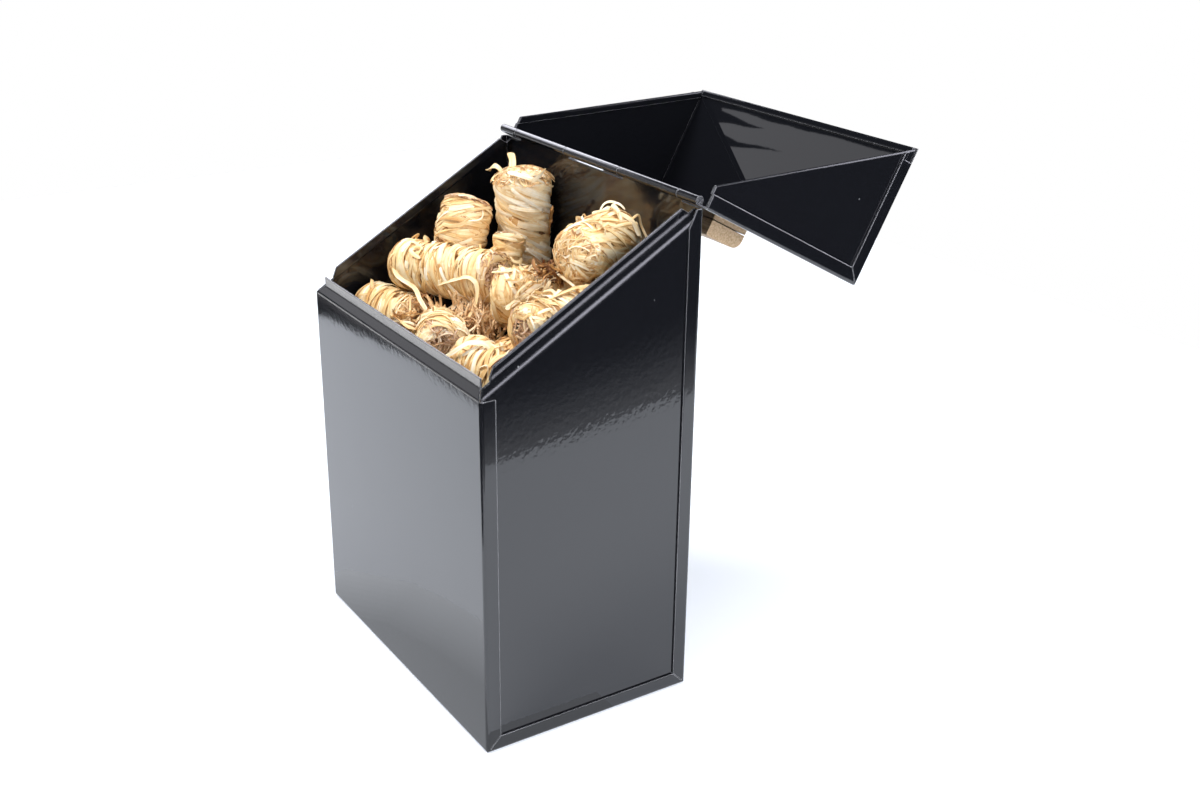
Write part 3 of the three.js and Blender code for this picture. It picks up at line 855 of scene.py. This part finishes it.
def addStrands(mesh, roll, rng):
    # the wound strands, from the inner ones to the outer ones
    span = roll["length"] + roll["radius"] * roll["strandOver"]
    for i in range(roll["strands"]):
        layer = i / roll["strands"]
        sweep = between(rng, *roll["sweep"])
        slant = roll["slant"] + rng.gauss(0, roll["spread"])
        share = sweep * roll["radius"] * math.sin(slant) / roll["length"]
        advance = max(-0.8, min(0.8, share)) * roll["length"]
        sweep = sweep * math.cos(slant)
        start = between(rng, -0.5, 0.5) * span - advance / 2
        place = (start, between(rng, 0, 2 * math.pi), advance, sweep)
        depth = (1 - layer) * roll["layers"] + between(rng, 0, roll["jitter"])
        loft = between(rng, 0, roll["loft"]) if layer > roll["looseFrom"] else 0
        width = between(rng, *roll["strandWidth"])
        width = width * (1 if layer < roll["narrowFrom"] else roll["narrow"])
        tone = roll["tone"] + roll["toneRise"] * layer + roll["toneShift"]
        tone = float(np.clip(rng.gauss(tone, roll["toneSpread"]), *roll["toneRange"]))
        windStrand(mesh, roll, rng, place, depth, width, tone, loft)


def makeRoll(cadNode, name, look, seed):
    rng = random.Random(seed)
    middle, axis, length = measureRoll(cadNode)
    roll = {**rollLook, **look, "length": length}
    matrix = Matrix.Translation(middle) @ axis.to_track_quat("X", "Z").to_matrix().to_4x4()
    skyward = matrix.to_3x3().transposed() @ Vector((0, 0, 1))
    upTurn = math.atan2(skyward.z, skyward.y)
    mesh = StrandMesh()
    addRollCore(mesh, roll, rng)
    addStrands(mesh, roll, rng)
    addEndFibres(mesh, roll, rng, 1, roll["endFibres"])
    addEndFibres(mesh, roll, rng, -1, roll["endFibres"] // 3)
    for _ in range(roll["curls"]):
        addCurl(mesh, roll, rng, upTurn)
    built = mesh.build(name, matrix)
    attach(built, "box")
    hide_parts(cadNode)


for number, (cadNode, look) in enumerate(shownRolls.items()):
    makeRoll(cadNode, "shownRoll" + cadNode.split("_")[1], look, seeds["shownRoll"] + number)
for cadNode in sorted(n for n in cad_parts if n.startswith("lower_firelighter")):
    number = cadNode.split("_")[2]
    makeRoll(cadNode, "lowerRoll" + number, lowerLook, seeds["lowerRoll"] + int(number))
print("wood-wool rolls wound")


# Long strands that have come loose and lie over the pile: points in mm, width, tone
looseStrands = {
    "overRollLeft": (
        [(-77, -24, 229), (-64, -30, 218), (-51, -25, 212), (-36, -29, 210), (-20, -33, 209)],
        2.7,
        0.8,
    ),
    "archOverEnd": (
        [
            (-33, -19, 218),
            (-19, -16, 224),
            (-8, -13, 228),
            (-2, -11, 225),
            (1, -13, 217),
            (1, -18, 208),
        ],
        2.7,
        0.78,
    ),
    "besideFront": ([(-50, -41, 199), (-34, -43, 201), (-12, -49, 205), (6, -52, 209)], 1.9, 0.62),
    "overCorner": (
        [(48, -57, 208), (55, -55, 213), (60, -49, 218), (67, -43, 218), (71, -41, 213)],
        3.0,
        0.85,
    ),
    "behindCorner": ([(32, -12, 221), (36, -2, 229), (39, 8, 236), (43, 17, 238)], 2.8, 0.85),
    "acrossCorner": ([(64, -40, 217), (72, -40, 217), (80, -44, 213)], 2.0, 0.75),
    "betweenRolls": ([(27, -11, 221), (40, 0, 229), (58, 0, 237), (76, -6, 238)], 1.6, 0.85),
    "crossOnPile": ([(18, 5, 237), (34, 14, 239), (54, 10, 241), (72, 8, 240)], 1.5, 0.8),
    "lowInGap": ([(-24, 38, 222), (-4, 30, 226), (16, 26, 234), (34, 22, 238)], 1.4, 0.45),
    "loopAtBack": ([(55, 52, 267), (54, 57, 268), (54, 59, 262), (58, 60, 256)], 1.3, 0.75),
    "bandOverBack": ([(44, 34, 270), (52, 42, 271.5), (60, 48, 268), (64, 51, 260)], 2.4, 0.8),
    "tallRollTip": ([(-48, 38, 268), (-54, 42, 273), (-59, 45, 276.5), (-63, 46, 279.5)], 4.2, 0.72),
    "tallRollFlap": ([(-55, 37, 270), (-64, 38, 271.5), (-72, 39, 270.5), (-80, 40, 266)], 3.4, 0.7),
    "splinter": ([(-22, 50, 256), (-27, 52, 249), (-32, 54, 242), (-36, 56, 234)], 2.6, 0.4),
}


def smoothPath(points, steps):
    # a smooth curve through points, at even steps, which stops just short of the last point
    p = np.array(points, float)
    p = np.concatenate([[2 * p[0] - p[1]], p, [2 * p[-1] - p[-2]]])
    out = []
    for t in np.linspace(0, len(points) - 1.0001, steps):
        i = int(t)
        u = t - i
        a, b, c, d = p[i : i + 4]
        curve = 2 * b + (c - a) * u + (2 * a - 5 * b + 4 * c - d) * u**2
        out.append(0.5 * (curve + (3 * b - a - 3 * c + d) * u**3))
    return np.array(out)


def makeLooseStrands():
    # each faces up and to the front, and tips from side to side along its length
    look = {"pointsEach": 12, "tip": 0.7, "waves": (4, 8), "thickness": 0.25 * mm}
    for number, (name, (points, width, tone)) in enumerate(looseStrands.items()):
        rng = random.Random(seeds["looseStrand"] + number)
        path = smoothPath(points, look["pointsEach"] * len(points)) * mm
        s = np.linspace(0, 1, len(path))
        tip = between(rng, -0.5, 0.5) + look["tip"] * np.sin(s * between(rng, *look["waves"]))
        outward = np.stack([0.55 + tip * 0.5, -0.3 + tip * 0.4, 0.75 - np.abs(tip) * 0.2], axis=1)
        mesh = StrandMesh()
        mesh.addRibbon(path, outward, width * mm, look["thickness"], tone)
        built = mesh.build("looseStrand" + name[0].upper() + name[1:], Matrix.Identity(4))
        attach(built, "box")


# Tangles of cut-off strands in the gaps between rolls: middle and half sizes in mm, the way most
# strands run, how many, their tone and their soak. What the tangles share follows.
tangles = {
    "tangleUnderLongRoll": ((0, -11, 206), (20, 7, 7), (0.5, -0.3, -0.75), 150, 0.7, 0.4),
    "tangleInGap": ((-36, -22, 202), (15, 5, 5), (0.8, -0.3, -0.3), 70, 0.58, 0.3),
    "tangleBrown": ((38, 11, 239), (8, 6, 3), (0.6, -0.6, 0.1), 54, 0.24, 0.0),
    "tanglePale": ((40, 2, 232), (15, 9, 4), (0.4, 0.7, 0.3), 44, 0.8, 0.0),
    "tangleLeftFront": ((-32, -37, 199), (14, 6, 5), (0.8, -0.2, 0.1), 40, 0.6, 0.2),
}
tangleLook = {
    "scatter": 0.45,  # how far single strands turn off the way that most of them run
    "bow": (7 * mm, 16 * mm),
    "turn": (0.7, 1.9),
    "waves": (2, 7),
    "waveDepth": 2 * mm,
    "lean": 0.5,
    "points": 13,
    "toneSpread": 0.12,
    "toneRange": (0.12, 0.95),
    "width": (0.6 * mm, 2.2 * mm),
    "thickness": 0.22 * mm,
}


def makeTangles():
    look = tangleLook
    s = np.linspace(-0.5, 0.5, look["points"])[:, None]
    for number, (name, (middle, half, way, count, tone, soak)) in enumerate(tangles.items()):
        rng = random.Random(seeds["tangle"] + number)
        mesh = StrandMesh()
        for _ in range(count):
            spot = np.array([rng.uniform(-1, 1) for _ in middle])
            place = (np.array(middle) + np.array(half) * spot) * mm
            heading = np.array(way) + np.array([rng.gauss(0, look["scatter"]) for _ in way])
            heading /= np.linalg.norm(heading)
            side = np.cross(heading, [rng.gauss(0, 1) for _ in way])
            side /= np.linalg.norm(side)
            third = np.cross(heading, side)
            bow, turn = between(rng, *look["bow"]), between(rng, *look["turn"])
            path = place + bow * (np.sin(turn * s) * heading + (np.cos(turn * s) - 1) * side)
            waves = np.sin(s * between(rng, *look["waves"]))
            path = path + third * waves * between(rng, -look["waveDepth"], look["waveDepth"])
            outward = side + third * rng.gauss(0, look["lean"]) + 0 * s
            shade = float(np.clip(rng.gauss(tone, look["toneSpread"]), *look["toneRange"]))
            width = between(rng, *look["width"])
            mesh.addRibbon(path, outward, width, look["thickness"], shade, soak)
        built = mesh.build(name, Matrix.Identity(4))
        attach(built, "box")


makeLooseStrands()
makeTangles()
print("loose strands and tangles laid")


# Plain pale table, white to the camera so that it meets the backdrop without an edge
def makeTable():
    look = {
        "middle": (-0.25, -0.15),
        "half": 0.95,
        "drop": 0.2 * mm,
        "colour": "#e8ebf0",
        "roughness": 0.4,
        "glowColour": "#e6ebf7",
        "seenGlow": 0.34,
        "mirrorGlow": 0.7,
    }
    (x, y), half = look["middle"], look["half"]
    corners = [(x - half, y - half), (x + half, y - half), (x + half, y + half), (x - half, y + half)]
    mesh = bpy.data.meshes.new("table")
    mesh.from_pydata([(*corner, 0) for corner in corners], [], [(0, 1, 2, 3)])
    table = bpy.data.objects.new("table", mesh)
    table.location.z = -look["drop"]
    bpy.context.scene.collection.objects.link(table)
    material, tree = newMaterial("whitePaper")
    seen = addNode(tree, "ShaderNodeLightPath")
    paper = addNode(
        tree,
        "ShaderNodeBsdfDiffuse",
        inputs={"Color": linearColour(look["colour"]), "Roughness": look["roughness"]},
    )
    mirror = addNode(
        tree,
        "ShaderNodeMath",
        {"operation": "MAXIMUM"},
        {0: (seen, "Is Glossy Ray"), 1: (seen, "Is Transmission Ray")},
    )
    inMirror = addNode(
        tree, "ShaderNodeMath", {"operation": "MULTIPLY"}, {0: (mirror, 0), 1: look["mirrorGlow"]}
    )
    lift = addNode(
        tree,
        "ShaderNodeMath",
        {"operation": "MULTIPLY_ADD"},
        {0: (seen, "Is Camera Ray"), 1: look["seenGlow"], 2: (inMirror, 0)},
    )
    glow = addNode(
        tree,
        "ShaderNodeEmission",
        inputs={"Color": linearColour(look["glowColour"]), "Strength": (lift, 0)},
    )
    both = addNode(tree, "ShaderNodeAddShader", inputs={0: (paper, "BSDF"), 1: (glow, "Emission")})
    addNode(tree, "ShaderNodeOutputMaterial", inputs={"Surface": (both, "Shader")})
    mesh.materials.append(material)


def addBoard(name, corners, hexColour, strength=1.0):
    # a board that only reflections see, as a studio flag or card
    mesh = bpy.data.meshes.new(name)
    mesh.from_pydata(corners, [], [tuple(range(len(corners)))])
    board = bpy.data.objects.new(name, mesh)
    bpy.context.scene.collection.objects.link(board)
    material, tree = newMaterial(name + "Card")
    card = addNode(
        tree, "ShaderNodeEmission", inputs={"Color": linearColour(hexColour), "Strength": strength}
    )
    addNode(tree, "ShaderNodeOutputMaterial", inputs={"Surface": (card, "Emission")})
    mesh.materials.append(material)
    board.visible_camera = False
    board.visible_diffuse = False
    board.visible_shadow = False
    board.visible_transmission = False


# Black flags round the set, and the paper on the table between them. The paper's corners are what
# the floor flags leave of it. Past its right edge it falls off in bands of painted shade.
studio = {
    "half": 1.7,
    "top": 2.3,
    "black": "#2a2b2f",
    "paper": [
        (0.40, -0.292),
        (0.42, 0.15),
        (0.455, 0.32),
        (0.54, 0.60),
        (-0.75, 0.60),
        (-0.75, -0.17),
        (-0.60, -0.272),
        (-0.45, -0.292),
    ],
    "flagReach": 8,  # times as far out as the paper's corners
    "flagHeight": 0.6 * mm,
    "bandsBeyond": 0.35,
    "bandWidth": 28 * mm,
    "bandHeight": 1.0 * mm,
    "bandColours": ["#d0d2d8", "#a8aab0", "#7c7e84", "#505256"],
}


def makeFlags():
    half, top, black = studio["half"], studio["top"], studio["black"]
    walls = [(-half, -half), (half, -half), (half, half), (-half, half)]
    for number, (ax, ay) in enumerate(walls):
        bx, by = walls[(number + 1) % len(walls)]
        addBoard(f"wallFlag{number}", [(ax, ay, 0), (bx, by, 0), (bx, by, top), (ax, ay, top)], black)
    addBoard("ceilingFlag", [(x, y, top) for x, y in walls], black)
    paper, far, low = studio["paper"], studio["flagReach"], studio["flagHeight"]
    for number, (ax, ay) in enumerate(paper):
        bx, by = paper[(number + 1) % len(paper)]
        corners = [(ax, ay), (bx, by), (bx * far, by * far), (ax * far, ay * far)]
        addBoard(f"floorFlag{number}", [(x, y, low) for x, y in corners], black)
        if min(ax, bx) > studio["bandsBeyond"]:
            makeBands(number, (ax, ay), (bx, by))


def makeBands(number, near, far):
    width, height = studio["bandWidth"], studio["bandHeight"]
    for band, shade in enumerate(studio["bandColours"]):
        inner, outer = width * band, width * (band + 1)
        ends = [(near, inner), (far, inner), (far, outer), (near, outer)]
        corners = [(x + shift, y, height) for (x, y), shift in ends]
        addBoard(f"paperShade{number}Band{band}", corners, shade)


# The card that the lid mirrors stands upright: where it starts on the floor, the way it runs, and
# its outline as distance along that way and height
lidCard = {
    "foot": (-0.95, -0.45),
    "run": (0.768, -0.640),
    "outline": [
        (0.60, 1.17),
        (-0.096, 0.786),
        (-0.094, 0.782),
        (-0.062, 0.792),
        (-0.030, 0.806),
        (-0.084, 0.763),
        (-0.080, 0.752),
        (-0.043, 0.762),
        (0.014, 0.799),
        (-0.062, 0.733),
        (-0.10, 0.5),
        (0.60, 0.5),
    ],
    "colour": "#e9e9ee",
    "strength": 1.2,
}


def makeLidCard():
    (footX, footY), (runX, runY) = lidCard["foot"], lidCard["run"]
    corners = [(footX + u * runX, footY + u * runY, z) for u, z in lidCard["outline"]]
    addBoard("lidCard", corners, lidCard["colour"], lidCard["strength"])


# Cards that lie on the floor: one that the front lip mirrors, and a painted shadow of the box on the
# paper beside it, which dims towards the box in steps. Level, shift and height are the first
# step's value and the change at each step.
floorCards = {
    "lip": [(-0.80, -0.301), (-0.30, -0.301), (-0.40, -0.42), (-1.0, -0.42)],
    "lipHeight": 1.0 * mm,
    "lipColour": "#d8d8da",
    "lipStrength": 5.3,
    "shade": [
        (-0.105, -0.064),
        (-0.065, -0.094),
        (-0.02, -0.106),
        (0.1, -0.122),
        (0.1, 0.0),
        (-0.105, 0.0),
    ],
    "shadeColour": "#dfe3ea",
    "shadeSteps": 9,
    "shadeLevel": (2.2, -0.105),
    "shadeShift": (20 * mm, -4.5 * mm),
    "shadeHeight": (0.3 * mm, 0.03 * mm),
}


def makeFloorCards():
    look = floorCards
    lip = [(x, y, look["lipHeight"]) for x, y in look["lip"]]
    addBoard("lipCard", lip, look["lipColour"], look["lipStrength"])
    fades = [look["shadeLevel"], look["shadeShift"], look["shadeHeight"]]
    for step in range(look["shadeSteps"]):
        level, shift, height = [first + change * step for first, change in fades]
        corners = [(x - shift, y - shift, height) for x, y in look["shade"]]
        addBoard(f"boxShade{step}", corners, look["shadeColour"], level)


# Standing cards that the bends, edges and the barrel mirror as pale lines: corners, colour,
# strength
standingCards = {
    "lipFootCard": (
        [(-1.6, -0.35, 0.0), (-1.2, -1.2, 0.0), (-1.2, -1.2, 0.22), (-1.6, -0.35, 0.22)],
        "#ffffff",
        2.0,
    ),
    "shoulderCard": (
        [(1.25, -0.32, 0.1), (1.25, 0.5, 0.1), (1.1, 0.5, 1.6), (1.1, -0.32, 1.6)],
        "#f0f0ff",
        7.0,
    ),
    "shoulderTopCard": (
        [(1.1, -0.32, 1.6), (1.1, 0.5, 1.6), (0.75, 0.5, 2.2), (0.75, -0.5, 2.2)],
        "#f0f0ff",
        7.0,
    ),
    "lidEdgeCard": (
        [(1.4, 1.3, 0.42), (-0.2, 1.5, 0.42), (-0.2, 1.5, 1.7), (1.4, 1.3, 1.7)],
        "#f0f0ff",
        6.0,
    ),
    "barrelCard": (
        [(-1.3, -0.3, 0.7), (-1.3, 0.9, 0.7), (-1.2, 0.9, 1.15), (-1.2, -0.3, 1.15)],
        "#f4f4ff",
        6.0,
    ),
}


# Soft lamps that reflections don't see: place, aim, width and height, power
softboxes = {
    "keySoftbox": ((-0.55, -0.75, 1.6), (0, 0, 0.2), (0.6, 0.6), 24),
    "overheadSoftbox": ((0.25, 0.1, 1.7), (0, 0, 0.2), (0.9, 0.9), 12),
    "softboxRight": ((1.2, 0.1, 0.55), (0, 0, 0.25), (0.8, 0.8), 12),
    "softboxLeftBack": ((-1.2, 0.42, 0.95), (0, 0.05, 0.28), (0.9, 0.6), 3),
}


def makeLamps():
    for name, (place, aim, size, power) in softboxes.items():
        light = bpy.data.lights.new(name, "AREA")
        light.shape = "RECTANGLE"
        light.size, light.size_y = size
        light.energy = power
        lamp = bpy.data.objects.new(name, light)
        lamp.location = place
        lamp.rotation_mode = "QUATERNION"
        lamp.rotation_quaternion = (Vector(aim) - Vector(place)).to_track_quat("-Z", "Y")
        lamp.visible_glossy = False
        bpy.context.scene.collection.objects.link(lamp)


# White to the camera and in mirrors, a dimmer grey as light
def makeBackdrop():
    look = {"seenColour": "#ffffff", "lightColour": "#b4b8bd", "strength": 1.0}
    world = bpy.data.worlds.new("studio")
    world.use_nodes = True
    tree = world.node_tree
    tree.nodes.clear()
    seen = addNode(tree, "ShaderNodeLightPath")
    mirror = addNode(
        tree,
        "ShaderNodeMath",
        {"operation": "MAXIMUM"},
        {0: (seen, "Is Glossy Ray"), 1: (seen, "Is Transmission Ray")},
    )
    white = addNode(
        tree, "ShaderNodeMath", {"operation": "MAXIMUM"}, {0: (seen, "Is Camera Ray"), 1: (mirror, 0)}
    )
    shown = addNode(
        tree,
        "ShaderNodeMix",
        {"data_type": "RGBA"},
        {
            "Factor": (white, 0),
            6: linearColour(look["lightColour"]),
            7: linearColour(look["seenColour"]),
        },
    )
    background = addNode(
        tree, "ShaderNodeBackground", inputs={"Color": (shown, 2), "Strength": look["strength"]}
    )
    addNode(tree, "ShaderNodeOutputWorld", inputs={"Surface": (background, "Background")})
    bpy.context.scene.world = world


def makeCamera():
    shot = {
        "place": (0.67755, -0.37647, 0.47563),
        "azimuth": math.radians(56.638),
        "elevation": math.radians(22.469),
        "roll": math.radians(0.785),
        "lens": 44.198,
    }
    az, el, roll = shot["azimuth"], shot["elevation"], shot["roll"]
    back = Vector((math.sin(az) * math.cos(el), -math.cos(az) * math.cos(el), math.sin(el)))
    right = Vector((0, 0, 1)).cross(back).normalized()
    up = back.cross(right)
    turnedRight = math.cos(roll) * right + math.sin(roll) * up
    turnedUp = -math.sin(roll) * right + math.cos(roll) * up
    data = bpy.data.cameras.new("camera")
    data.sensor_width = 36.0
    data.lens = shot["lens"]
    data.clip_start = 0.01
    camera = bpy.data.objects.new("camera", data)
    camera.matrix_world = Matrix.Translation(shot["place"]) @ Matrix(
        (turnedRight, turnedUp, back)
    ).transposed().to_4x4()
    bpy.context.scene.collection.objects.link(camera)
    bpy.context.scene.camera = camera


makeTable()
makeFlags()
makeLidCard()
makeFloorCards()
for cardName, card in standingCards.items():
    addBoard(cardName, *card)
makeLamps()
makeBackdrop()
makeCamera()
bpy.context.scene.view_settings.view_transform = "Standard"
print("table, light and camera set")
